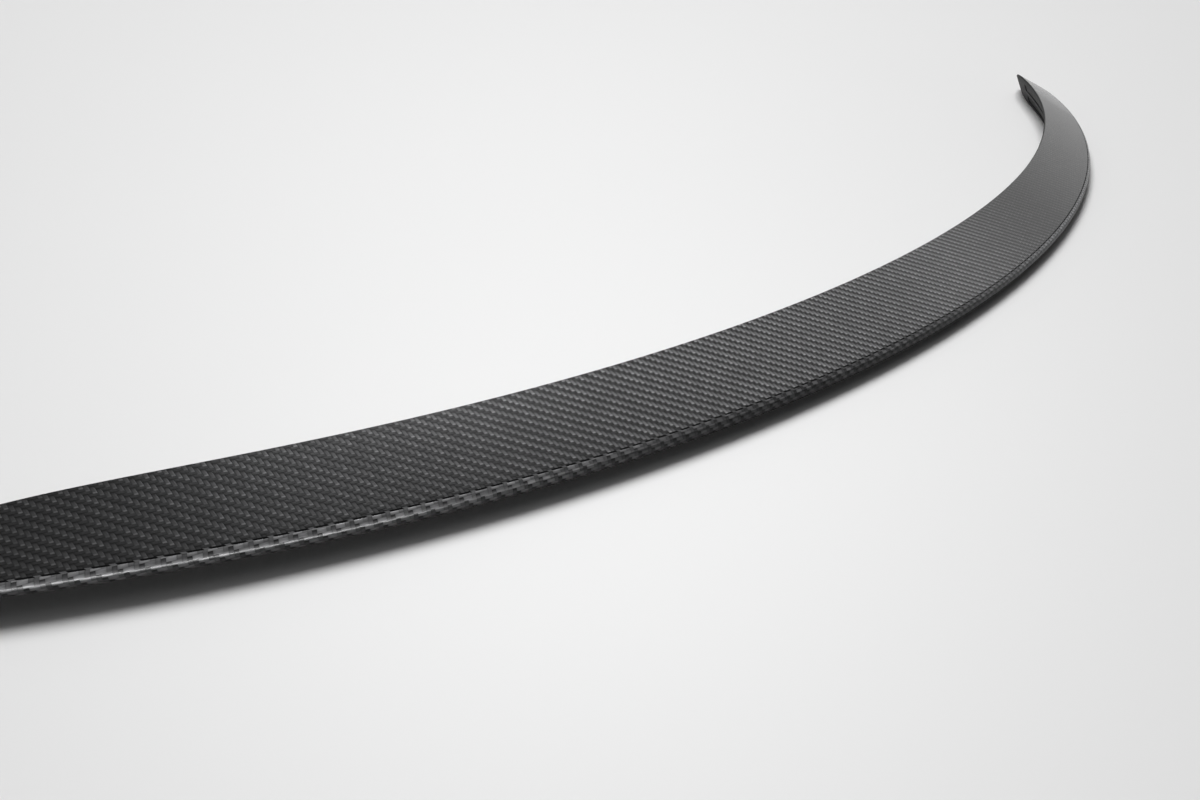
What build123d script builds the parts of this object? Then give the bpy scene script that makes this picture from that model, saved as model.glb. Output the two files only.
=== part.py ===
from build123d import *
from math import asin, atan2, cos, hypot, pi, radians, sin, tan
import os

# Boot-lid lip spoiler, one closed moulding, lying on its foot as it does on a table.
# Millimetres. +X runs across the car, +Y towards the front of the car and +Z up.
# The origin is on the foot, under the keel, on the plane of symmetry.

# Nose line in plan: an elliptical arc, with its tips swept forward of its middle
half_span = 608.0
tip_sweep = 212.6
arc_angle = 49.6

# Broad upper face, from the nose to the thin leading edge, at the middle and at the tips
face_width = 46.4
tip_face_width = 30.6
face_angle = 22.1
tip_face_angle = 25.6

# Height of the face at the nose, and the height of the points that the ends close on
nose_height = 10.0
tip_nose_height = 17.0
tip_point_height = 9.0

# Rounded nose, and the leading edge, which is cut square to the face
nose_radius = 4.0
edge_thickness = 1.8

# Keel, set back under the face from the nose and trimmed flat to make the foot
keel_setback = 26.0
tip_keel_setback = 12.0
keel_depth = 1.6

# Two shallow channels in the bonding face, which take adhesive tape and stop short of the tips
tape_width = 9.0
tape_depth = 0.8
tape_margin = 6.0
tape_end_station = 0.84

# Spread of the loft's sections, and how late the ends draw in to their points
sections_per_side = 16
last_section_angle = 85.0
end_lateness = 16


def blend(middle, tip, station):
    """A size that goes from its middle value to its tip value with the square of the station."""
    return middle + (tip - middle) * station**2


def polar(start, distance, bearing):
    """The point at a distance and a bearing from a start."""
    return start[0] + distance * cos(bearing), start[1] + distance * sin(bearing)


class Section:
    """The section at a station, which runs from -1 at the left tip to 1 at the right tip."""

    def __init__(self, station):
        slope = radians(blend(face_angle, tip_face_angle, station))
        width = blend(face_width, tip_face_width, station)
        height = blend(nose_height, tip_nose_height, station)
        self.station = station
        self.keel = (blend(keel_setback, tip_keel_setback, station**2), -keel_depth)
        self.edge_top = (width, height + width * tan(slope))
        self.edge_low = polar(self.edge_top, edge_thickness, slope - pi / 2)
        self.bond_angle = atan2(self.edge_low[1] - self.keel[1], self.edge_low[0] - self.keel[0])
        self.bond_length = hypot(self.edge_low[0] - self.keel[0], self.edge_low[1] - self.keel[1])
        self.nose_round = self.round_nose(height, slope)

    def round_nose(self, height, slope):
        """Control points of the nose: round, and tangent to the rear wall and to the face."""
        centre = (nose_radius, height + nose_radius * (tan(slope) - 1 / cos(slope)))
        reach = (centre[0] - self.keel[0], centre[1] - self.keel[1])
        first = atan2(reach[1], reach[0]) + asin(nose_radius / hypot(*reach)) + pi / 2
        last = slope + pi / 2
        handle = 4 / 3 * tan((last - first) / 4) * nose_radius
        low = polar(centre, nose_radius, first)
        top = polar(centre, nose_radius, last)
        return low, polar(low, handle, first + pi / 2), polar(top, handle, last - pi / 2), top

    def plane(self):
        """Upright plane square to the nose line: local X points inwards from the nose, local Y up."""
        turn = radians(arc_angle) * self.station
        semi_x = half_span / sin(radians(arc_angle))
        semi_y = tip_sweep / (1 - cos(radians(arc_angle)))
        origin = (semi_x * sin(turn), semi_y * (1 - cos(turn)) - keel_setback, 0)
        heading = atan2(semi_y * sin(turn), semi_x * cos(turn))
        return Plane(origin, x_dir=(-sin(heading), cos(heading), 0), z_dir=(cos(heading), sin(heading), 0))

    def closing(self, points):
        """The points drawn in towards the tip point, which the ends close on."""
        share = 1 - abs(self.station) ** end_lateness
        return [(x * share, tip_point_height + (y - tip_point_height) * share) for x, y in points]

    def body(self):
        """Nose, face, leading edge, bonding face, keel and rear wall."""
        straights = [self.nose_round[-1], self.edge_top, self.edge_low, self.keel, self.nose_round[0]]
        with BuildSketch(self.plane()) as profile:
            with BuildLine():
                Bezier(*self.closing(self.nose_round))
                Polyline(self.closing(straights))
            make_face()
        return profile.sketch

    def channel(self, start):
        """A tape channel that starts at a distance from the keel, open through the bonding face."""
        sides = [polar(self.keel, along, self.bond_angle) for along in (start, start + tape_width)]
        mouth = [polar(side, tape_depth, self.bond_angle - pi / 2) for side in sides]
        floor = [polar(side, tape_depth, self.bond_angle + pi / 2) for side in reversed(sides)]
        with BuildSketch(self.plane()) as profile:
            with BuildLine():
                Polyline(self.closing(mouth + floor), close=True)
            make_face()
        return profile.sketch

    def rear_channel(self):
        """The channel beside the keel."""
        return self.channel(tape_margin)

    def front_channel(self):
        """The channel beside the leading edge."""
        return self.channel(self.bond_length - tape_margin - tape_width)


# The body's sections crowd towards the tips, as the sine of even steps
steps = range(-sections_per_side, sections_per_side + 1)
section_turn = radians(last_section_angle) / sections_per_side
body_sections = [Section(sin(section_turn * step)) for step in steps]
channel_sections = [Section(tape_end_station * step / sections_per_side) for step in steps]

with BuildPart() as spoiler:
    loft([section.body() for section in body_sections])
    loft([section.rear_channel() for section in channel_sections], mode=Mode.SUBTRACT)
    loft([section.front_channel() for section in channel_sections], mode=Mode.SUBTRACT)
    split(bisect_by=Plane.XY, keep=Keep.TOP)

spoiler.part.label = "spoiler"

os.makedirs("parts", exist_ok=True)
export_step(spoiler.part, "parts/spoiler.step")
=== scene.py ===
import logging
import math
from dataclasses import dataclass, field
from enum import Enum
from typing import Union

import bmesh
import bpy
import numpy as np
from bpy.types import Material, Mesh, Node, NodeSocket as Socket, NodeTree, Object, World
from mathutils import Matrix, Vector


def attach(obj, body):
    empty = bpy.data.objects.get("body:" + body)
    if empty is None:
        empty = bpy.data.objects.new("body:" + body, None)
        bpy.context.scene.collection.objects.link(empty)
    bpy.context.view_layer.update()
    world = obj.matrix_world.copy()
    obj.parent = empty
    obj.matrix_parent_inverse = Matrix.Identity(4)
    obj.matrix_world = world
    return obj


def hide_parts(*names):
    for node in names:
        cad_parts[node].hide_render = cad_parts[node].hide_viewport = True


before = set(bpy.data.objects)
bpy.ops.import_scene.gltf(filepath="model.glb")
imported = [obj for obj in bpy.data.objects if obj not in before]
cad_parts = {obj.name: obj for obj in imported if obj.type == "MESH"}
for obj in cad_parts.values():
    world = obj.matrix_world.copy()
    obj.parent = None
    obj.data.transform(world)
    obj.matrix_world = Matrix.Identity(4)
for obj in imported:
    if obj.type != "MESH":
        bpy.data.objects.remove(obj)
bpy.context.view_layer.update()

NODE = "spoiler"
BODY = "root"
CLOTH_UV = "cloth"
ZONE = "zone"
SEAM_DISTANCE = "from_seam"
NEUTRAL_TINT = (1.0, 1.0, 1.0)
CARBON_TINT = (1.0, 1.0, 1.02)

# Steps across the rear wall, round the nose, across the face and across a tape channel
WALL_STEPS = 6
NOSE_STEPS = 18
FACE_STEPS = 24
CHANNEL_STEPS = 3
SEAM_STEP = WALL_STEPS + NOSE_STEPS
# Sides of a face between two rings
QUAD_SIDES = 4

LOG = logging.getLogger("spoiler_scene")

Operand = Union[float, Socket]
Point = tuple[float, float]
Place = tuple[float, float, float]
Span = tuple[float, float]


class Zone(Enum):
    """Stretches of the section that have a finish of their own."""

    STRIP = 0
    FACE = 1
    BOND = 2
    SEAM = 3

    @property
    def label(self) -> str:
        """The zone's name on the bending tree."""
        return self.name.title()


Outline = list[tuple[Point, Zone]]


class Graph:
    """Adds and links the nodes of one tree, for materials and for Geometry Nodes alike."""

    def __init__(self, tree: NodeTree) -> None:
        """Takes over a shader tree or a geometry tree."""
        self.tree = tree

    def add(self, kind: str, **settings: object) -> Node:
        """Adds a node.

        Args:
            kind: The node's type name.
            **settings: Values of the node's own properties.

        Returns:
            The new node.
        """
        node = self.tree.nodes.new(kind)
        for name, value in settings.items():
            setattr(node, name, value)
        return node

    def feed(self, socket: Socket, value: object) -> None:
        """Links a socket to another, or sets its value.

        Args:
            socket: The input socket.
            value: An output socket to link, or a plain value.
        """
        if isinstance(value, Socket):
            self.tree.links.new(value, socket)
        else:
            socket.default_value = value

    def math(self, operation: str, *operands: Operand) -> Socket:
        """Adds a Math node.

        Args:
            operation: The node's operation.
            *operands: Its inputs in order.

        Returns:
            The node's output socket.
        """
        node = self.add("ShaderNodeMath", operation=operation)
        for socket, operand in zip(node.inputs, operands):
            self.feed(socket, operand)
        return node.outputs[0]

    def product(self, first: Operand, *others: Operand) -> Operand:
        """Multiplies numbers in turn.

        Args:
            first: The first number.
            *others: What it is multiplied by.

        Returns:
            The product's socket.
        """
        for other in others:
            first = self.math("MULTIPLY", first, other)
        return first

    def blend(self, share: Operand, first: Operand, second: Operand) -> Socket:
        """Mixes two numbers.

        Args:
            share: 0 for the first number, 1 for the second.
            first: The first number.
            second: The second number.

        Returns:
            The mixed number's socket.
        """
        node = self.add("ShaderNodeMix", data_type="FLOAT")
        for name, value in (("Factor", share), ("A", first), ("B", second)):
            self.feed(node.inputs[name], value)
        return node.outputs["Result"]

    def ramp(
        self, value: Operand, start: float, end: float, low: Operand = 0.0, high: Operand = 1.0
    ) -> Socket:
        """Adds a smooth step from one number to another.

        Args:
            value: The number that drives the step.
            start: Where the step begins.
            end: Where the step ends.
            low: The result at the start.
            high: The result at the end.

        Returns:
            The result's socket.
        """
        node = self.add("ShaderNodeMapRange", interpolation_type="SMOOTHSTEP")
        names = ("Value", "From Min", "From Max", "To Min", "To Max")
        for name, operand in zip(names, (value, start, end, low, high)):
            self.feed(node.inputs[name], operand)
        return node.outputs[0]

    def grey(self, value: Operand, tint: Place = NEUTRAL_TINT) -> Socket:
        """Adds a colour of one brightness.

        Args:
            value: The brightness.
            tint: What its red, green and blue are multiplied by.

        Returns:
            The colour's socket.
        """
        node = self.add("ShaderNodeCombineColor")
        for channel, share in zip(node.inputs, tint):
            self.feed(channel, self.product(value, share))
        return node.outputs["Color"]

    def split(self, vector: Socket) -> tuple[Socket, Socket, Socket]:
        """Takes a vector apart.

        Args:
            vector: The vector's socket.

        Returns:
            Sockets of its x, y and z.
        """
        node = self.add("ShaderNodeSeparateXYZ")
        self.feed(node.inputs[0], vector)
        return node.outputs["X"], node.outputs["Y"], node.outputs["Z"]

    def join(self, *numbers: Operand) -> Socket:
        """Makes a vector.

        Args:
            *numbers: Its x, y and z.

        Returns:
            The vector's socket.
        """
        node = self.add("ShaderNodeCombineXYZ")
        for socket, number in zip(node.inputs, numbers):
            self.feed(socket, number)
        return node.outputs["Vector"]

    def facing(self, vector: Socket, direction: Place) -> Socket:
        """Finds how far a vector of unit length faces a direction.

        Args:
            vector: The vector's socket.
            direction: The direction, of unit length.

        Returns:
            Socket of the cosine between them.
        """
        node = self.add("ShaderNodeVectorMath", operation="DOT_PRODUCT")
        self.feed(node.inputs[0], vector)
        node.inputs[1].default_value = direction
        return node.outputs["Value"]


def between(first: float, last: float, share: float) -> float:
    """The number at a share of the way from the first one to the last one."""
    return first + (last - first) * share


def polar(start: Point, distance: float, bearing: float) -> Point:
    """The point at a distance and a bearing from a start."""
    return start[0] + distance * math.cos(bearing), start[1] + distance * math.sin(bearing)


def spread(first: Point, last: Point, count: int) -> list[Point]:
    """Evenly spaced points from the first one up to, and without, the last one."""
    shares = [step / count for step in range(count)]
    return [(between(first[0], last[0], s), between(first[1], last[1], s)) for s in shares]


def heading_vector(pitch: float, yaw: float) -> Place:
    """Direction that points down by a pitch, and to the right of +Y by a yaw."""
    return math.cos(pitch) * math.sin(yaw), math.cos(pitch) * math.cos(yaw), -math.sin(pitch)


def link_object(name: str, data: bpy.types.ID) -> Object:
    """Puts a new object in the scene.

    Args:
        name: The object's name.
        data: Its mesh or camera.

    Returns:
        The object.
    """
    made = bpy.data.objects.new(name, data)
    bpy.context.scene.collection.objects.link(made)
    return made


def new_finish(name: str) -> tuple[Material, Graph, Node]:
    """Starts a material.

    Args:
        name: The material's name.

    Returns:
        The material, its graph and its shader node.
    """
    made = bpy.data.materials.new(name)
    made.use_nodes = True
    return made, Graph(made.node_tree), made.node_tree.nodes["Principled BSDF"]


def read_values(
    items: bpy.types.bpy_prop_collection, name: str, kind: type, width: int = 1
) -> np.ndarray:
    """Reads one property of all the items in a mesh's list.

    Args:
        items: The list, such as the mesh's vertices.
        name: The property.
        kind: Type of its numbers.
        width: How many numbers an item has.

    Returns:
        One row an item, or one number an item where the width is 1.
    """
    values = np.empty(len(items) * width, dtype=kind)
    items.foreach_get(name, values)
    return values.reshape(-1, width) if width > 1 else values


@dataclass(frozen=True)
class SectionLaw:
    """The moulding's section in metres, as the solid has it, at stations from tip (-1) to tip (1)."""

    # Nose line in plan, an elliptical arc
    half_span: float = 0.608
    tip_sweep: float = 0.2126
    arc_angle: float = math.radians(49.6)
    # Broad face, at the middle and at the tips
    face_width: float = 0.0464
    tip_face_width: float = 0.0306
    face_angle: float = math.radians(22.1)
    tip_face_angle: float = math.radians(25.6)
    # Height of the face at the nose, and of the points at the ends
    nose_height: float = 0.010
    tip_nose_height: float = 0.017
    tip_point_height: float = 0.009
    # Rounded nose, and the leading edge with its bevels
    nose_radius: float = 0.004
    edge_thickness: float = 0.0018
    edge_bevel: float = 0.0002
    # Keel under the face, and how much of it the foot trims at least
    keel_setback: float = 0.026
    tip_keel_setback: float = 0.012
    keel_depth: float = 0.0016
    keel_land: float = 0.00015
    # Tape channels in the bonding face
    tape_width: float = 0.009
    tape_depth: float = 0.0008
    tape_margin: float = 0.006
    tape_end_station: float = 0.84
    # Groove between the two skins, beside the nose
    seam_width: float = 0.0008
    seam_depth: float = 0.00005
    # How late the ends draw in to their points
    end_lateness: int = 16

    def share(self, station: float) -> float:
        """Share of the full section that is left at a station."""
        return 1 - abs(station) ** self.end_lateness

    def slope(self, station: float) -> float:
        """Slope of the broad face at a station, in radians."""
        return between(self.face_angle, self.tip_face_angle, station**2)

    def nose_line(self, station: float) -> Point:
        """Place of the nose line at a station, in plan.

        Args:
            station: The section's station.

        Returns:
            Its x and its y.
        """
        turn = self.arc_angle * station
        semi_x = self.half_span / math.sin(self.arc_angle)
        semi_y = self.tip_sweep / (1 - math.cos(self.arc_angle))
        return semi_x * math.sin(turn), semi_y * (1 - math.cos(turn)) - self.keel_setback

    def outline(self, station: float) -> Outline:
        """Points round the section, each with the zone of the stretch that follows it.

        Args:
            station: The section's station.

        Returns:
            Pairs of a point (inset from the nose line, height) and a zone, in one turn.
        """
        square = station**2
        slope = self.slope(station)
        down = slope - math.pi / 2
        width = between(self.face_width, self.tip_face_width, square)
        height = between(self.nose_height, self.tip_nose_height, square)
        keel = (between(self.keel_setback, self.tip_keel_setback, square**2), -self.keel_depth)
        edge_top = (width, height + width * math.tan(slope))
        edge_low = polar(edge_top, self.edge_thickness, down)
        nose = self.nose_arc(height, slope, keel)
        seam_middle = polar(polar(nose[-1], self.seam_width / 2, slope), self.seam_depth, down)
        seam_end = polar(nose[-1], self.seam_width, slope)
        face_end = polar(edge_top, -self.edge_bevel, slope)
        edge = [polar(edge_top, self.edge_bevel, down), polar(edge_low, -self.edge_bevel, down)]
        stretches = (
            (Zone.BOND, spread(self.foot_corner(station, keel, nose[0]), nose[0], WALL_STEPS)),
            (Zone.STRIP, nose[:-1]),
            (Zone.SEAM, [nose[-1], seam_middle]),
            (Zone.FACE, spread(seam_end, face_end, FACE_STEPS)),
            (Zone.BOND, [face_end, *edge]),
            (Zone.BOND, self.bonding_face(station, edge_low, keel)),
            (Zone.BOND, [self.foot_corner(station, keel, edge_low)]),
        )
        return self.closing([(p, zone) for zone, points in stretches for p in points], station)

    def nose_arc(self, height: float, slope: float, keel: Point) -> list[Point]:
        """Points round the nose.

        Args:
            height: Height of the face at the nose line.
            slope: Slope of the face.
            keel: The keel's corner, which the rear wall runs to.

        Returns:
            The points, from the rear wall's end to the face's.
        """
        rise = math.tan(slope) - 1 / math.cos(slope)
        centre = (self.nose_radius, height + self.nose_radius * rise)
        reach = (centre[0] - keel[0], centre[1] - keel[1])
        lean = math.asin(self.nose_radius / math.hypot(*reach))
        first = math.atan2(reach[1], reach[0]) + lean + math.pi / 2
        last = slope + math.pi / 2
        bearings = [between(first, last, step / NOSE_STEPS) for step in range(NOSE_STEPS + 1)]
        return [polar(centre, self.nose_radius, bearing) for bearing in bearings]

    def bonding_face(self, station: float, edge_low: Point, keel: Point) -> list[Point]:
        """Points across the bonding face and its tape channels.

        Args:
            station: The section's station.
            edge_low: The lower corner of the leading edge.
            keel: The keel's corner.

        Returns:
            The points, from the leading edge to the keel.
        """
        angle = math.atan2(edge_low[1] - keel[1], edge_low[0] - keel[0])
        length = math.hypot(edge_low[0] - keel[0], edge_low[1] - keel[1])
        depth = self.tape_depth if abs(station) <= self.tape_end_station else 0.0
        points = [polar(keel, length - self.edge_bevel, angle)]
        for start in (length - self.tape_margin, self.tape_margin + self.tape_width):
            mouth = (polar(keel, start, angle), polar(keel, start - self.tape_width, angle))
            floor = [polar(corner, depth, angle + math.pi / 2) for corner in mouth]
            points.append(mouth[0])
            points += spread(floor[0], floor[1], CHANNEL_STEPS)
            points += [floor[1], mouth[1]]
        return points

    def closing(self, rows: Outline, station: float) -> Outline:
        """Draws an outline in towards the tip point, which the ends close on.

        Args:
            rows: The full outline.
            station: The section's station.

        Returns:
            The outline as it is at the station.
        """
        share = self.share(station)
        rise = self.tip_point_height
        return [((p[0] * share, between(rise, p[1], share)), zone) for p, zone in rows]

    def foot_corner(self, station: float, keel: Point, side: Point) -> Point:
        """Finds a corner of the foot, which trims the keel.

        Args:
            station: The section's station.
            keel: The keel's corner.
            side: The other end of the side that the foot cuts.

        Returns:
            The corner, before the ends draw in.
        """
        floor = self.tip_point_height * (1 - 1 / self.share(station))
        lift = max(floor - keel[1], self.keel_land)
        return between(keel[0], side[0], lift / (side[1] - keel[1])), keel[1] + lift


@dataclass(frozen=True)
class TwillWeave:
    """A 2x2 twill in tows of one unit, in which each tow floats over two others."""

    name: str = "twill_weave"
    # Length of a float, the repeat, and the shift between the two directions
    float_length: float = 2.0
    repeat: float = 4.0
    along_shift: float = 1.0
    # How flat a tow is across and along, and its height from end to crown
    ridge_power: float = 4.0
    arch_power: float = 0.45
    crown_levels: Span = (0.05, 1.0)
    fibre_fine: float = 9.0
    fibre_coarse: float = 0.8
    fibre_shift: float = 7.3
    fibre_detail: float = 2.0
    fibre_levels: Span = (0.7, 1.3)

    def group(self) -> NodeTree:
        """Builds the weave's shader group.

        Returns:
            The group, with the inputs Cloth and Cover (length of the floats that run across the
            part) and the outputs Across (1 on such a float), Run (0 to 1 along a float), Ridge and
            Crown (its arch), Chance (a number of its own) and Fibre (its grain).
        """
        tree = bpy.data.node_groups.new(self.name, "ShaderNodeTree")
        tree.interface.new_socket("Cloth", in_out="INPUT", socket_type="NodeSocketVector")
        tree.interface.new_socket("Cover", in_out="INPUT", socket_type="NodeSocketFloat")
        graph = Graph(tree)
        inputs = graph.add("NodeGroupInput")
        cover = inputs.outputs["Cover"]
        u, v, _ = graph.split(inputs.outputs["Cloth"])
        row, column = graph.math("FLOOR", u), graph.math("FLOOR", v)
        lead = graph.product(graph.math("SUBTRACT", cover, self.float_length), 0.5)
        across_phase = graph.math("ADD", graph.math("SUBTRACT", u, column), lead)
        along_phase = graph.math("SUBTRACT", graph.math("SUBTRACT", v, row), self.along_shift)
        across_run = graph.math("FLOORED_MODULO", across_phase, self.repeat)
        along_run = graph.math("FLOORED_MODULO", along_phase, self.repeat)
        across = graph.math("LESS_THAN", across_run, cover)
        along_share = graph.math("DIVIDE", along_run, self.float_length)
        run = graph.blend(across, along_share, graph.math("DIVIDE", across_run, cover))

        across_turn = graph.math("FLOOR", graph.math("DIVIDE", across_phase, self.repeat))
        along_turn = graph.math("FLOOR", graph.math("DIVIDE", along_phase, self.repeat))
        cell = graph.join(
            graph.blend(across, row, column), graph.blend(across, along_turn, across_turn), across
        )
        chance = graph.add("ShaderNodeTexWhiteNoise", noise_dimensions="3D")
        graph.feed(chance.inputs["Vector"], cell)

        side = graph.blend(across, graph.math("FRACT", u), graph.math("FRACT", v))
        off_centre = graph.math("ABSOLUTE", graph.math("SUBTRACT", graph.product(side, 2.0), 1.0))
        ridge = graph.math("SUBTRACT", 1.0, graph.math("POWER", off_centre, self.ridge_power))
        arch = graph.math("POWER", graph.math("SINE", graph.product(run, math.pi)), self.arch_power)
        made = {
            "Across": across,
            "Run": run,
            "Ridge": ridge,
            "Crown": graph.product(ridge, graph.blend(arch, *self.crown_levels)),
            "Chance": chance.outputs["Value"],
            "Fibre": self.fibre(graph, across, u, v),
        }
        for label in made:
            tree.interface.new_socket(label, in_out="OUTPUT", socket_type="NodeSocketFloat")
        outputs = graph.add("NodeGroupOutput")
        for label, socket in made.items():
            graph.feed(outputs.inputs[label], socket)
        return tree

    def fibre(self, graph: Graph, across: Socket, u: Socket, v: Socket) -> Socket:
        """Adds the fine grain that runs along each tow.

        Args:
            graph: The group's graph.
            across: 1 on floats that run across the part, 0 on the others.
            u: The cloth's first coordinate.
            v: The cloth's second coordinate.

        Returns:
            Socket of the grain, about 1.
        """
        stretched = graph.join(
            graph.product(u, graph.blend(across, self.fibre_fine, self.fibre_coarse)),
            graph.product(v, graph.blend(across, self.fibre_coarse, self.fibre_fine)),
            graph.product(across, self.fibre_shift),
        )
        noise = graph.add("ShaderNodeTexNoise")
        noise.inputs["Scale"].default_value = 1.0
        noise.inputs["Detail"].default_value = self.fibre_detail
        graph.feed(noise.inputs["Vector"], stretched)
        return graph.blend(noise.outputs[0], *self.fibre_levels)


@dataclass(frozen=True)
class PaintedLightFall:
    """How the finishes change over the part, in metres, as its tows turn from the light: painted sheen and
    painted shade in their greys, and the weight of their coat.
    """

    # Where the painted sheen is brightest, and the distances from there between which it gives way to
    # painted shade
    bright_place: float = -0.16
    dim_span: Span = (0.06, 0.27)
    # Distances from the middle between which the coat's weight changes
    coat_span: Span = (0.17, 0.46)
    # Start of the nose's lower half, which takes painted shade, below the seam, at the middle and at the
    # ends, and its fade
    low_start: Span = (0.0019, 0.0032)
    low_span: Span = (0.3, 0.46)
    low_fade: float = 0.0006

    def dim(self, graph: Graph, x: Socket) -> Socket:
        """Finds how far the tows have turned from the light, which sets their painted sheen and painted
        shade.

        Args:
            graph: The material's graph.
            x: Place across the car.

        Returns:
            Socket of the share, 0 at the brightest place.
        """
        off_bright = graph.math("ABSOLUTE", graph.math("SUBTRACT", x, self.bright_place))
        return graph.ramp(off_bright, *self.dim_span)

    def low(self, graph: Graph, x: Socket) -> Socket:
        """Finds the nose's lower half, which takes painted shade and starts farther from the seam at the
        ends.

        Args:
            graph: The material's graph.
            x: Place across the car.

        Returns:
            Socket of the share, 1 on the lower half.
        """
        distance = graph.add("ShaderNodeAttribute", attribute_name=SEAM_DISTANCE).outputs["Fac"]
        start = graph.ramp(graph.math("ABSOLUTE", x), *self.low_span, *self.low_start)
        return graph.ramp(graph.math("SUBTRACT", distance, start), 0.0, self.low_fade)


@dataclass(frozen=True)
class PaintedFloatLight:
    """Painted light and shade from the start to the end of a float, in shares of its run."""

    # Painted sheen that brightens a float towards its end
    glow_span: Span = (0.1, 0.9)
    glow_levels: Span = (0.75, 1.25)
    # Painted shade at its start, deeper where the tows have turned from the light
    shade_span: Span = (0.02, 0.34)
    end_shade: float = 0.4
    # Painted glint near its end, of a strength by chance
    spark_in: Span = (0.74, 0.86)
    spark_out: Span = (1.0, 0.93)
    spark_chance: Span = (0.1, 1.0)
    spark_levels: Span = (0.3, 1.0)
    end_spark: float = 0.3


@dataclass(frozen=True)
class TwillCloth:
    """A finish of 2x2 twill carbon cloth under a clear coat. Greys are reflectances, with painted sheen,
    painted glints and painted shade in them.
    """

    name: str
    # Greys of the tows across and along the part: painted sheen where they face the light and painted shade
    # where they have turned from it
    across_tow: float
    along_tow: float
    end_across: float
    end_along: float
    # Length of the floats across the part, in tows
    cover: float
    # Spread of the tows' greys, their painted glints, the painted shade between them and their height
    unevenness: float
    painted_glint: float
    gap: float
    relief: float
    roughness: float
    metallic: float
    specular: float
    # Clear coat at the ends, at the middle and on the nose's lower half
    coat: float
    middle_coat: float
    low_coat: float
    coat_roughness: float
    # Share of the grey that the nose's lower half keeps under its painted shade
    low_shade: float
    fall: PaintedLightFall = PaintedLightFall()
    light: PaintedFloatLight = PaintedFloatLight()

    def material(self, weave: NodeTree) -> Material:
        """Makes the material.

        Args:
            weave: The shared twill group.

        Returns:
            The material.
        """
        made, graph, shader = new_finish(self.name)
        twill = graph.add("ShaderNodeGroup", node_tree=weave)
        graph.feed(twill.inputs["Cloth"], graph.add("ShaderNodeUVMap", uv_map=CLOTH_UV).outputs["UV"])
        graph.feed(twill.inputs["Cover"], self.cover)
        x, _, _ = graph.split(graph.add("ShaderNodeTexCoord").outputs["Object"])
        # Painted sheen and painted shade: the tows' greys change with the place across the car
        dim = self.fall.dim(graph, x)
        low = self.fall.low(graph, x)
        cloth = graph.math("ADD", self.tow_grey(graph, twill, dim), self.painted_glints(graph, twill, dim))
        # Painted shade darkens the nose's lower half
        grey = graph.product(cloth, graph.blend(low, 1.0, self.low_shade))
        graph.feed(shader.inputs["Base Color"], graph.grey(grey, CARBON_TINT))
        bump = graph.add("ShaderNodeBump")
        bump.inputs["Strength"].default_value = 1.0
        bump.inputs["Distance"].default_value = self.relief
        graph.feed(bump.inputs["Height"], twill.outputs["Crown"])
        graph.feed(shader.inputs["Normal"], bump.outputs["Normal"])
        off_middle = graph.math("ABSOLUTE", x)
        upper_coat = graph.ramp(off_middle, *self.fall.coat_span, self.middle_coat, self.coat)
        graph.feed(shader.inputs["Coat Weight"], graph.blend(low, upper_coat, self.low_coat))
        shader.inputs["Metallic"].default_value = self.metallic
        shader.inputs["Roughness"].default_value = self.roughness
        shader.inputs["Specular IOR Level"].default_value = self.specular
        shader.inputs["Coat Roughness"].default_value = self.coat_roughness
        return made

    def tow_grey(self, graph: Graph, twill: Node, dim: Socket) -> Socket:
        """Adds the grey of the tows, with painted sheen along the floats, painted shade at their starts and
        painted shade between the tows.

        Args:
            graph: The material's graph.
            twill: Its twill node.
            dim: How far the tows have turned from the light.

        Returns:
            The grey's socket.
        """
        run, chance = twill.outputs["Run"], twill.outputs["Chance"]
        glow = graph.ramp(run, *self.light.glow_span, *self.light.glow_levels)
        start_level = graph.blend(dim, 1.0, self.light.end_shade)
        start_shade = graph.ramp(run, *self.light.shade_span, start_level, 1.0)
        across_grey = graph.blend(dim, self.across_tow, self.end_across)
        along_grey = graph.blend(dim, self.along_tow, self.end_along)
        across_grey = graph.product(across_grey, glow, start_shade)
        tow = graph.blend(twill.outputs["Across"], along_grey, across_grey)
        uneven = graph.blend(chance, 1 - self.unevenness, 1 + self.unevenness)
        # Painted shade between the tows, where their crowns fall away
        painted_gap_shade = graph.blend(twill.outputs["Crown"], self.gap, 1.0)
        return graph.product(tow, uneven, painted_gap_shade, twill.outputs["Fibre"])

    def painted_glints(self, graph: Graph, twill: Node, dim: Socket) -> Socket:
        """Adds the painted glints, small bright spots near the ends of the floats that run across the part.

        Args:
            graph: The material's graph.
            twill: Its twill node.
            dim: How far the tows have turned from the light.

        Returns:
            Socket of the grey that they add.
        """
        run, chance = twill.outputs["Run"], twill.outputs["Chance"]
        rise = graph.ramp(run, *self.light.spark_in)
        fall = graph.ramp(run, *self.light.spark_out)
        luck = graph.ramp(chance, *self.light.spark_chance, *self.light.spark_levels)
        # Painted glints, weaker where the tows have turned from the light
        level = graph.blend(dim, self.painted_glint, self.light.end_spark * self.painted_glint)
        return graph.product(rise, fall, twill.outputs["Across"], twill.outputs["Ridge"], luck, level)


@dataclass(frozen=True)
class SeamLine:
    """The dark line between the two skins, broken where it crosses the tows that pass under it."""

    name: str = "seam_line"
    dark: float = 0.006
    light: float = 0.1
    period: float = 4.0
    dash: float = 2.9
    roughness: float = 0.6
    specular: float = 0.0

    def material(self) -> Material:
        """Makes the material.

        Returns:
            The material.
        """
        made, graph, shader = new_finish(self.name)
        u, v, _ = graph.split(graph.add("ShaderNodeUVMap", uv_map=CLOTH_UV).outputs["UV"])
        beat = graph.math("FLOORED_MODULO", graph.math("SUBTRACT", u, v), self.period)
        broken = graph.math("GREATER_THAN", beat, self.dash)
        grey = graph.blend(broken, self.dark, self.light)
        graph.feed(shader.inputs["Base Color"], graph.grey(grey, CARBON_TINT))
        shader.inputs["Roughness"].default_value = self.roughness
        shader.inputs["Specular IOR Level"].default_value = self.specular
        return made


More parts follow.
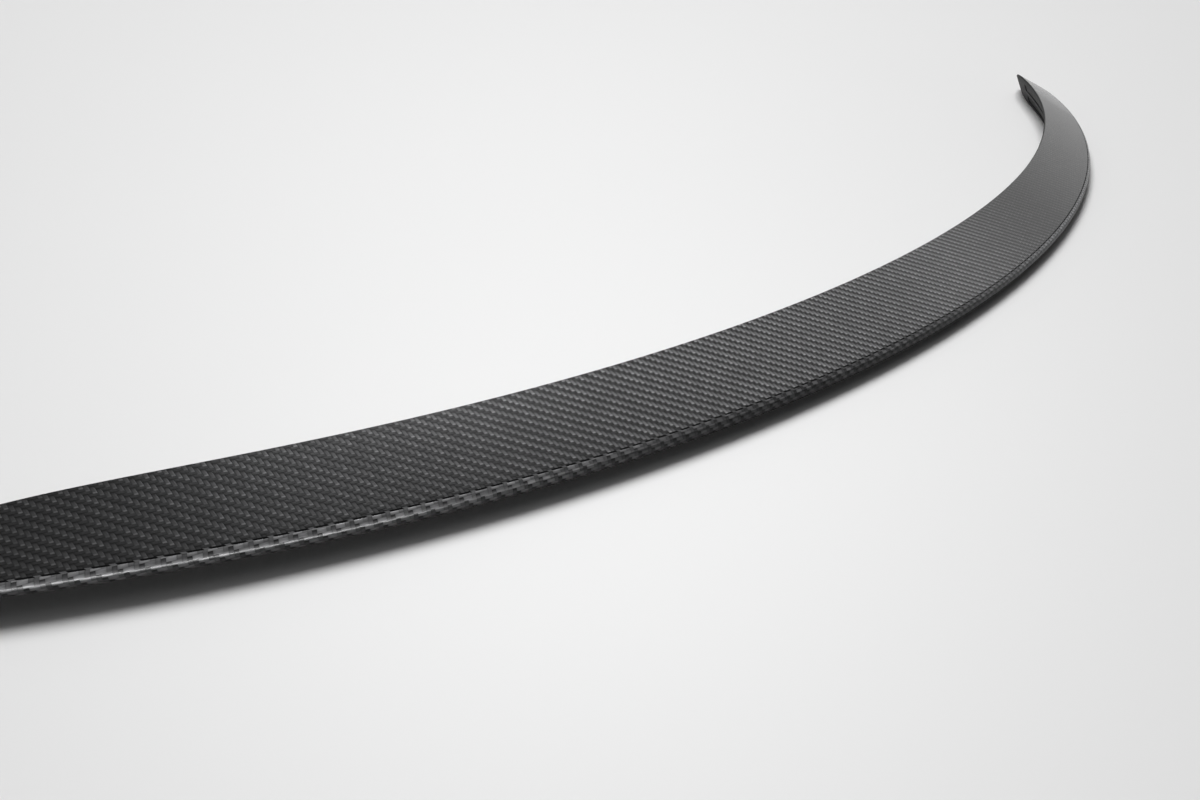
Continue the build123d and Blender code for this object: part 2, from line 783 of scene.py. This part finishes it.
@dataclass
class Moulding:
    """The carbon moulding: its bent shell, its cloth and its finishes."""

    law: SectionLaw = field(default_factory=SectionLaw)
    name: str = "carbon_moulding"
    # Rings of the shell, closer towards the tips, and the step at the channels' ends
    stations: int = 420
    last_angle: float = math.radians(85.0)
    channel_end_step: float = 1e-4
    # Width of a tow, and the place and the radius that the cloth's rows bow round
    tow: float = 0.0017
    cloth_centre: float = 0.195
    cloth_radius: float = 1.364
    # Edges that turn by more than this are sharp
    sharp_angle: float = math.radians(28)

    def build(self) -> Object:
        """Builds the shell as a straight bar, bends it along the nose line and dresses it.

        Returns:
            The dressed shell.
        """
        stations = self.station_list()
        rings = [self.law.outline(station) for station in stations]
        shell = self.bend(self.build_bar(stations, rings), self.dress())
        self.finish_mesh(shell.data)
        self.lay_cloth(shell.data, stations, rings)
        return shell

    def station_list(self) -> list[float]:
        """Lists the stations of the shell's rings, closer towards the tips and at the channels' ends.

        Returns:
            The stations, from the left tip to the right one.
        """
        last = self.stations - 1
        turns = [between(-self.last_angle, self.last_angle, n / last) for n in range(self.stations)]
        end = self.law.tape_end_station
        ends = [side * (end + gap) for side in (-1, 1) for gap in (0, self.channel_end_step)]
        return sorted([math.sin(turn) for turn in turns] + ends)

    def build_bar(self, stations: list[float], rings: list[Outline]) -> Object:
        """Builds the bar, whose x is the station.

        Args:
            stations: The rings' stations.
            rings: The rings' outlines.

        Returns:
            The bar, with the zone of each face in an attribute.
        """
        count = len(rings[0])
        corners = [(station, *p) for station, ring in zip(stations, rings) for p, _ in ring]
        faces: list[tuple[int, ...]] = []
        zones: list[int] = []
        for start in range(0, count * (len(stations) - 1), count):
            for j, (_, zone) in enumerate(rings[0]):
                k = (j + 1) % count
                faces.append((start + j, start + k, start + count + k, start + count + j))
                zones.append(zone.value)
        for start in (0, count * (len(stations) - 1)):
            faces.append(tuple(start + j for j in range(count)))
            zones.append(Zone.STRIP.value)
        mesh = bpy.data.meshes.new("bar")
        mesh.from_pydata(corners, [], faces)
        mesh.attributes.new(ZONE, "INT", "FACE").data.foreach_set("value", zones)
        return link_object("bar", mesh)

    def dress(self) -> dict[Zone, Material]:
        """Makes the finish of each zone.

        Returns:
            The zones' materials.
        """
        weave = TwillWeave().group()
        face = TwillCloth(
            "face_twill", across_tow=0.29, along_tow=0.08, end_across=0.053, end_along=0.035, cover=2.4,
            unevenness=0.1, painted_glint=0.28, gap=0.35, relief=0.00004, roughness=0.32, metallic=0.6, specular=0.0,
            coat=0.6, middle_coat=0.6, low_coat=0.6, coat_roughness=0.06, low_shade=1.0,
        )
        strip = TwillCloth(
            "nose_twill", across_tow=0.06, along_tow=0.15, end_across=0.14, end_along=0.28, cover=2.0,
            unevenness=0.22, painted_glint=0.0, gap=0.6, relief=0.00004, roughness=0.35, metallic=0.4, specular=0.0,
            coat=1.0, middle_coat=0.3, low_coat=0.1, coat_roughness=0.18, low_shade=0.35,
        )
        bond = TwillCloth(
            "bond_twill", across_tow=0.012, along_tow=0.009, end_across=0.012, end_along=0.009, cover=2.0,
            unevenness=0.1, painted_glint=0.0, gap=0.6, relief=0.00006, roughness=0.6, metallic=0.3, specular=0.15,
            coat=0.0, middle_coat=0.0, low_coat=0.0, coat_roughness=0.5, low_shade=1.0,
        )
        return {
            Zone.FACE: face.material(weave),
            Zone.STRIP: strip.material(weave),
            Zone.BOND: bond.material(weave),
            Zone.SEAM: SeamLine().material(),
        }

    def bend(self, bar: Object, finishes: dict[Zone, Material]) -> Object:
        """Bends the bar by Geometry Nodes and makes the result a plain mesh.

        Args:
            bar: The straight bar. It is removed.
            finishes: The zones' materials.

        Returns:
            The bent shell.
        """
        values: dict[str, object] = {
            "Half Span": self.law.half_span,
            "Tip Sweep": self.law.tip_sweep,
            "Arc Angle": self.law.arc_angle,
            "Keel Setback": self.law.keel_setback,
        }
        sizes = {label: "NodeSocketFloat" for label in values}
        values.update({zone.label: material for zone, material in finishes.items()})
        tree = self.bend_tree(sizes)
        modifier = bar.modifiers.new(tree.name, "NODES")
        modifier.node_group = tree
        for item in tree.interface.items_tree:
            if item.in_out == "INPUT" and item.name in values:
                modifier[item.identifier] = values[item.name]
        mesh = bpy.data.meshes.new_from_object(bar.evaluated_get(bpy.context.evaluated_depsgraph_get()))
        mesh.name = self.name
        bpy.data.objects.remove(bar)
        return link_object(self.name, mesh)

    def bend_tree(self, sizes: dict[str, str]) -> NodeTree:
        """Builds the nodes that bend a bar along the nose line and give each zone its finish.

        Args:
            sizes: Names of the sizes that the tree takes, with their socket types.

        Returns:
            The tree.
        """
        tree = bpy.data.node_groups.new("bend_along_nose", "GeometryNodeTree")
        tree.interface.new_socket("Geometry", in_out="INPUT", socket_type="NodeSocketGeometry")
        finishes = {zone.label: "NodeSocketMaterial" for zone in Zone}
        for label, kind in {**sizes, **finishes}.items():
            tree.interface.new_socket(label, in_out="INPUT", socket_type=kind)
        tree.interface.new_socket("Geometry", in_out="OUTPUT", socket_type="NodeSocketGeometry")
        graph = Graph(tree)
        inputs = graph.add("NodeGroupInput")
        station, inset, height = graph.split(graph.add("GeometryNodeInputPosition").outputs[0])
        x, y, heading = self.nose_frame(graph, inputs, station)
        inwards = graph.product(inset, graph.math("SINE", heading))
        forwards = graph.product(inset, graph.math("COSINE", heading))
        move = graph.add("GeometryNodeSetPosition")
        graph.feed(move.inputs["Geometry"], inputs.outputs["Geometry"])
        bent = graph.join(graph.math("SUBTRACT", x, inwards), graph.math("ADD", y, forwards), height)
        graph.feed(move.inputs["Position"], bent)
        realize = graph.add("GeometryNodeRealizeInstances")
        graph.feed(realize.inputs["Geometry"], move.outputs["Geometry"])
        current = realize.outputs["Geometry"]
        for zone in Zone:
            current = self.paint_zone(graph, current, zone, inputs.outputs[zone.label])
        graph.feed(graph.add("NodeGroupOutput").inputs["Geometry"], current)
        return tree

    def nose_frame(self, graph: Graph, inputs: Node, station: Socket) -> tuple[Socket, Socket, Socket]:
        """Adds the nodes that find the nose line's place and heading at a station.

        Args:
            graph: The tree's graph.
            inputs: The tree's input node, with the sizes of the arc.
            station: Socket of the station.

        Returns:
            Sockets of x, y and heading.
        """
        arc = inputs.outputs["Arc Angle"]
        turn = graph.product(arc, station)
        drop = graph.math("SUBTRACT", 1.0, graph.math("COSINE", arc))
        semi_x = graph.math("DIVIDE", inputs.outputs["Half Span"], graph.math("SINE", arc))
        semi_y = graph.math("DIVIDE", inputs.outputs["Tip Sweep"], drop)
        rise = graph.math("SUBTRACT", 1.0, graph.math("COSINE", turn))
        across = graph.product(semi_y, graph.math("SINE", turn))
        along = graph.product(semi_x, graph.math("COSINE", turn))
        x = graph.product(semi_x, graph.math("SINE", turn))
        y = graph.math("SUBTRACT", graph.product(semi_y, rise), inputs.outputs["Keel Setback"])
        return x, y, graph.math("ARCTAN2", across, along)

    def paint_zone(self, graph: Graph, current: Socket, zone: Zone, finish: Socket) -> Socket:
        """Adds the nodes that give one zone its finish.

        Args:
            graph: The tree's graph.
            current: The shell so far.
            zone: The zone.
            finish: Socket of its material.

        Returns:
            Socket of the shell with the zone painted.
        """
        named = graph.add("GeometryNodeInputNamedAttribute", data_type="INT")
        named.inputs["Name"].default_value = ZONE
        same = graph.add("FunctionNodeCompare", data_type="INT", operation="EQUAL")
        whole = [socket for socket in same.inputs if socket.type == "INT"]
        graph.feed(whole[0], named.outputs["Attribute"])
        graph.feed(whole[1], zone.value)
        paint = graph.add("GeometryNodeSetMaterial")
        graph.feed(paint.inputs["Geometry"], current)
        graph.feed(paint.inputs["Selection"], same.outputs["Result"])
        graph.feed(paint.inputs["Material"], finish)
        return paint.outputs["Geometry"]

    def finish_mesh(self, mesh: Mesh) -> None:
        """Turns the faces outwards and marks which edges are sharp.

        Args:
            mesh: The shell's mesh.
        """
        work = bmesh.new()
        work.from_mesh(mesh)
        bmesh.ops.recalc_face_normals(work, faces=work.faces)
        work.to_mesh(mesh)
        work.free()
        mesh.polygons.foreach_set("use_smooth", [True] * len(mesh.polygons))
        mesh.set_sharp_from_angle(angle=self.sharp_angle)

    def lay_cloth(self, mesh: Mesh, stations: list[float], rings: list[Outline]) -> None:
        """Writes the cloth's coordinates, in tows, to a UV map, and the distance from the seam.

        Args:
            mesh: The shell's mesh, with its vertices ring by ring.
            stations: The rings' stations.
            rings: The rings' outlines.
        """
        count = len(rings[0])
        slopes = np.repeat([self.law.slope(station) for station in stations], count)
        face_cloth = self.face_cloth(read_values(mesh.vertices, "co", float, 3), slopes)
        around = self.from_seam(rings)

        vertex_of = read_values(mesh.loops, "vertex_index", np.int32)
        sides = read_values(mesh.polygons, "loop_total", np.int32)
        zones = read_values(mesh.attributes[ZONE].data, "value", np.int32)
        owner = np.repeat(np.arange(len(sides)), sides)
        ring_of, step_of = vertex_of // count, vertex_of % count
        at_last_step = np.zeros(len(sides), dtype=bool)
        np.logical_or.at(at_last_step, owner, step_of == count - 1)
        wrapped = at_last_step[owner] & (step_of == 0) & (sides[owner] == QUAD_SIDES)
        round_section = around[ring_of, np.where(wrapped, count, step_of)]

        bond_cloth = np.column_stack([round_section, self.along_nose(stations)[ring_of]]) / self.tow
        below_seam = np.column_stack([round_section, np.zeros(len(ring_of))]) / self.tow
        strip_cloth = face_cloth[ring_of * count + SEAM_STEP] - below_seam
        zone_of = zones[owner][:, None]
        upper_cloth = np.where(zone_of == Zone.FACE.value, face_cloth[vertex_of], strip_cloth)
        cloth = np.where(zone_of == Zone.BOND.value, bond_cloth, upper_cloth)
        layer = mesh.uv_layers.new(name=CLOTH_UV)
        layer.data.foreach_set("uv", cloth.astype(np.float32).ravel())
        distance = mesh.attributes.new(SEAM_DISTANCE, "FLOAT", "POINT")
        distance.data.foreach_set("value", np.abs(around[:, :count]).astype(np.float32).ravel())

    def face_cloth(self, places: np.ndarray, slopes: np.ndarray) -> np.ndarray:
        """Finds the cloth's coordinates on the face, where its rows bow a little.

        Args:
            places: The shell's vertices.
            slopes: Slope of the face at each of them.

        Returns:
            A pair of coordinates a vertex, in tows.
        """
        off = places[:, 0] - self.cloth_centre
        run = off + off**3 / (6 * self.cloth_radius**2)
        bow = off**2 / (2 * self.cloth_radius)
        drop = (bow - places[:, 1] - self.law.keel_setback) / np.cos(slopes)
        return np.column_stack([drop, run]) / self.tow

    def from_seam(self, rings: list[Outline]) -> np.ndarray:
        """Measures round each ring from its seam.

        Args:
            rings: The rings' outlines.

        Returns:
            A row a ring, with one more column for the step that closes it.
        """
        outline = np.array([[p for p, _ in ring] for ring in rings])
        steps = np.linalg.norm(np.roll(outline, -1, axis=1) - outline, axis=2)
        around = np.concatenate([np.zeros((len(rings), 1)), np.cumsum(steps, axis=1)], axis=1)
        return around - around[:, SEAM_STEP : SEAM_STEP + 1]

    def along_nose(self, stations: list[float]) -> np.ndarray:
        """Measures along the nose line from its middle.

        Args:
            stations: The rings' stations.

        Returns:
            The distance of each ring.
        """
        nose = np.array([self.law.nose_line(station) for station in stations])
        hops = np.linalg.norm(np.diff(nose, axis=0), axis=1)
        along = np.concatenate([[0.0], np.cumsum(hops)])
        return along - along[len(along) // 2]


@dataclass(frozen=True)
class PaperWithPaintedPool:
    """The floor's finish, with a painted pool of light: palest at one place and a little darker away from
    it.
    """

    name: str = "pale_paper"
    # Grey of the painted pool's palest place, and how fast and how far the painted light falls off
    grey: float = 0.9
    fade: float = 0.5
    dip: float = 0.36
    least_facing: float = 0.2
    # Direction of the painted pool's palest place from the eye
    pale_pitch: float = math.radians(32)
    pale_yaw: float = math.radians(44)
    roughness: float = 0.9
    specular: float = 0.1

    def material(self, eye: Place) -> Material:
        """Makes the material, with its painted pool of light.

        Args:
            eye: Place above the floor that the palest spot is sighted from.

        Returns:
            The material.
        """
        made, graph, shader = new_finish(self.name)
        away = graph.add("ShaderNodeVectorMath", operation="SUBTRACT")
        graph.feed(away.inputs[0], graph.add("ShaderNodeTexCoord").outputs["Object"])
        graph.feed(away.inputs[1], eye)
        sight = graph.add("ShaderNodeVectorMath", operation="NORMALIZE")
        graph.feed(sight.inputs[0], away.outputs["Vector"])
        # Painted pool of light: the grey falls off with the angle from the aim
        aim = heading_vector(self.pale_pitch, self.pale_yaw)
        cosine = graph.facing(sight.outputs["Vector"], aim)
        facing = graph.math("MAXIMUM", cosine, self.least_facing)
        tangent_square = graph.math("SUBTRACT", graph.math("POWER", facing, -2.0), 1.0)
        fall = graph.product(tangent_square, self.fade)
        softening = graph.math("ADD", 1.0, graph.math("DIVIDE", fall, self.dip))
        level = graph.math("SUBTRACT", 1.0, graph.math("DIVIDE", fall, softening))
        graph.feed(shader.inputs["Base Color"], graph.grey(graph.product(level, self.grey)))
        shader.inputs["Roughness"].default_value = self.roughness
        shader.inputs["Specular IOR Level"].default_value = self.specular
        return made


@dataclass(frozen=True)
class Dome:
    """Soft light from all round. Spans are of a direction's x, y or z, and angles are in radians."""

    # Round key, above and behind the part
    key_place: Place = (0.25, 0.415, 0.87)
    key_core: float = math.radians(9)
    key_edge: float = math.radians(19.3)
    key_light: float = 14.1
    # Even fill behind the part
    top_light: float = 0.25
    right_light: float = 0.36
    right_span: Span = (0.0, 0.8)
    rear_span: Span = (-0.35, -0.05)
    # Low strip in front of the left end, which makes the streak on the nose
    strip_azimuth: float = math.radians(-133)
    strip_reach: float = math.radians(28)
    strip_soft: float = 0.05
    strip_light: float = 11.8
    strip_foot: Span = (0.0, 0.01)
    strip_head: Span = (0.095, 0.075)
    # Backdrop that is seen in place of the light, up to these heights
    backdrop_grey: float = 0.6
    backdrop_top: Span = (0.42, 0.62)

    def world(self) -> World:
        """Makes the world: a key behind the part, a fill on the right, a low strip and a backdrop.

        Returns:
            The world.
        """
        made = bpy.data.worlds.new("dome")
        made.use_nodes = True
        graph = Graph(made.node_tree)
        sky = graph.add("ShaderNodeTexCoord").outputs["Generated"]
        x, y, z = graph.split(sky)
        light = graph.math("ADD", self.key(graph, sky), self.fill(graph, x, y))
        rays = graph.add("ShaderNodeLightPath")
        camera_ray = rays.outputs["Is Camera Ray"]
        bent_ray = graph.math("ADD", rays.outputs["Is Glossy Ray"], rays.outputs["Is Transmission Ray"])
        seen = graph.math("MINIMUM", graph.math("ADD", camera_ray, bent_ray), 1.0)
        backdrop = graph.ramp(z, *self.backdrop_top, self.backdrop_grey, light)
        strip = graph.product(self.strip(graph, sky, z), graph.math("SUBTRACT", 1.0, camera_ray))
        glow = graph.math("ADD", graph.blend(seen, light, backdrop), strip)
        background = made.node_tree.nodes["Background"]
        graph.feed(background.inputs["Color"], graph.grey(glow))
        background.inputs["Strength"].default_value = 1.0
        return made

    def key(self, graph: Graph, sky: Socket) -> Socket:
        """Adds the round key light.

        Args:
            graph: The world's graph.
            sky: Direction into the sky.

        Returns:
            Socket of its brightness.
        """
        towards = graph.facing(sky, tuple(Vector(self.key_place).normalized()))
        ends = (math.cos(self.key_edge), math.cos(self.key_core))
        return graph.ramp(towards, *ends, 0.0, self.key_light)

    def fill(self, graph: Graph, x: Socket, y: Socket) -> Socket:
        """Adds the even fill behind the part, which is stronger on the right.

        Args:
            graph: The world's graph.
            x: The direction's x.
            y: The direction's y.

        Returns:
            Socket of its brightness.
        """
        right = graph.ramp(x, *self.right_span, self.top_light, self.right_light)
        return graph.product(graph.ramp(y, *self.rear_span), right)

    def strip(self, graph: Graph, sky: Socket, z: Socket) -> Socket:
        """Adds the low strip light in front of the left end.

        Args:
            graph: The world's graph.
            sky: Direction into the sky.
            z: The direction's z.

        Returns:
            Socket of its brightness.
        """
        towards = graph.facing(sky, heading_vector(0.0, self.strip_azimuth))
        ends = (math.cos(self.strip_reach + self.strip_soft), math.cos(self.strip_reach - self.strip_soft))
        level = graph.ramp(towards, *ends, 0.0, self.strip_light)
        return graph.product(level, graph.ramp(z, *self.strip_foot), graph.ramp(z, *self.strip_head))


@dataclass
class Studio:
    """Pale floor with a painted pool of light, soft light and the camera at the photograph's angle."""

    paper: PaperWithPaintedPool = field(default_factory=PaperWithPaintedPool)
    dome: Dome = field(default_factory=Dome)
    floor_reach: float = 30.0
    camera_place: Place = (-0.5456, -0.1521, 0.2199)
    camera_pitch: float = math.radians(32.83)
    camera_yaw: float = math.radians(47.24)
    lens: float = 24.0
    sensor: float = 36.0
    clip: Span = (0.01, 50.0)

    def build(self) -> Object:
        """Builds the floor, the light and the camera.

        Returns:
            The floor.
        """
        bpy.context.scene.world = self.dome.world()
        self.build_camera()
        floor = self.build_floor()
        self.dress(floor)
        return floor

    def build_floor(self) -> Object:
        """Builds the wide flat floor.

        Returns:
            The floor.
        """
        turns = ((-1, -1), (1, -1), (1, 1), (-1, 1))
        corners = [(self.floor_reach * x, self.floor_reach * y, 0.0) for x, y in turns]
        mesh = bpy.data.meshes.new("floor")
        mesh.from_pydata(corners, [], [(0, 1, 2, 3)])
        return link_object("floor", mesh)

    def dress(self, floor: Object) -> None:
        """Gives the floor its paper, with its painted pool of light."""
        floor.data.materials.append(self.paper.material(self.camera_place))

    def build_camera(self) -> None:
        """Sets the camera at the photograph's angle."""
        optics = bpy.data.cameras.new("camera")
        optics.lens = self.lens
        optics.sensor_width = self.sensor
        optics.clip_start, optics.clip_end = self.clip
        camera = link_object("camera", optics)
        camera.location = self.camera_place
        camera.rotation_euler = (math.pi / 2 - self.camera_pitch, 0, -self.camera_yaw)
        bpy.context.scene.camera = camera


def report(piece: Object) -> None:
    """Logs a piece and how many faces it has."""
    LOG.info("%s: %d faces", piece.name, len(piece.data.polygons))


def main() -> None:
    """Builds the dressed part and its studio."""
    logging.basicConfig(level=logging.INFO)
    bpy.context.scene.view_settings.view_transform = "Standard"
    moulding = Moulding().build()
    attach(moulding, BODY)
    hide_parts(NODE)
    report(moulding)
    floor = Studio().build()
    report(floor)


if __name__ == "__main__":
    main()
